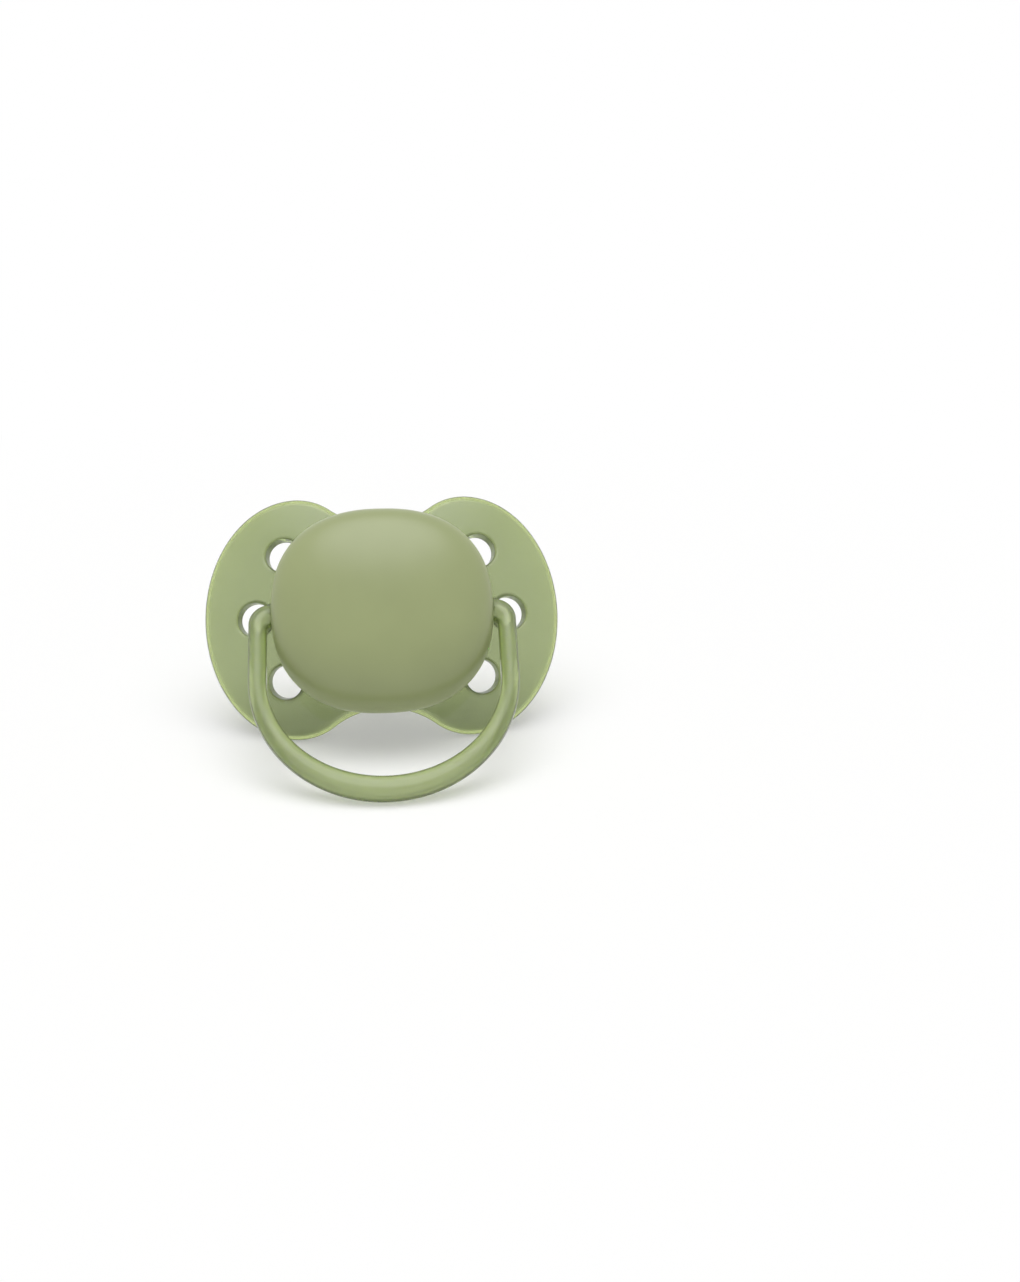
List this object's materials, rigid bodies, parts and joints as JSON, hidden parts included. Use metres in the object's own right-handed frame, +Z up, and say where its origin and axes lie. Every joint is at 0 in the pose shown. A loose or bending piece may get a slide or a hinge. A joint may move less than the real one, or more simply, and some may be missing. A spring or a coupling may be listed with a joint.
{
  "type": "pacifier",
  "caption": "Pacifier with a dished butterfly shield, vent holes, a soft round teat, a domed knob and a swinging ring handle.",
  "frame": {"origin": "centre of the bounding box in X and Y, on the surface that the soother lies on", "axes": "+Z up, +Y towards the teat, with the knob towards -Y, and X along the long side of the shield"},
  "size_m": [0.058, 0.0612, 0.0376],
  "materials": {
    "shield": "satin translucent soft plastic",
    "teat": "frosted bulb, clear neck",
    "core_plate": "matt",
    "teat_plug": "satin",
    "knob_cover": "fine matt",
    "ring_handle": "smooth translucent"
  },
  "bodies": {
    "soother": {"shield": "shield", "teat": "teat", "core_plate": "core_plate", "teat_plug": "teat_plug", "knob_cover": "knob_cover"},
    "handle": {"ring_handle": "ring_handle"}
  },
  "joints": [
    {"name": "ring_swing", "type": "hinge", "parent": "soother", "child": "handle", "pos_m": [0, -0.00432, 0.02144], "axis": [-1, 0, 0], "range_deg": [-35, 168]}
  ]
}
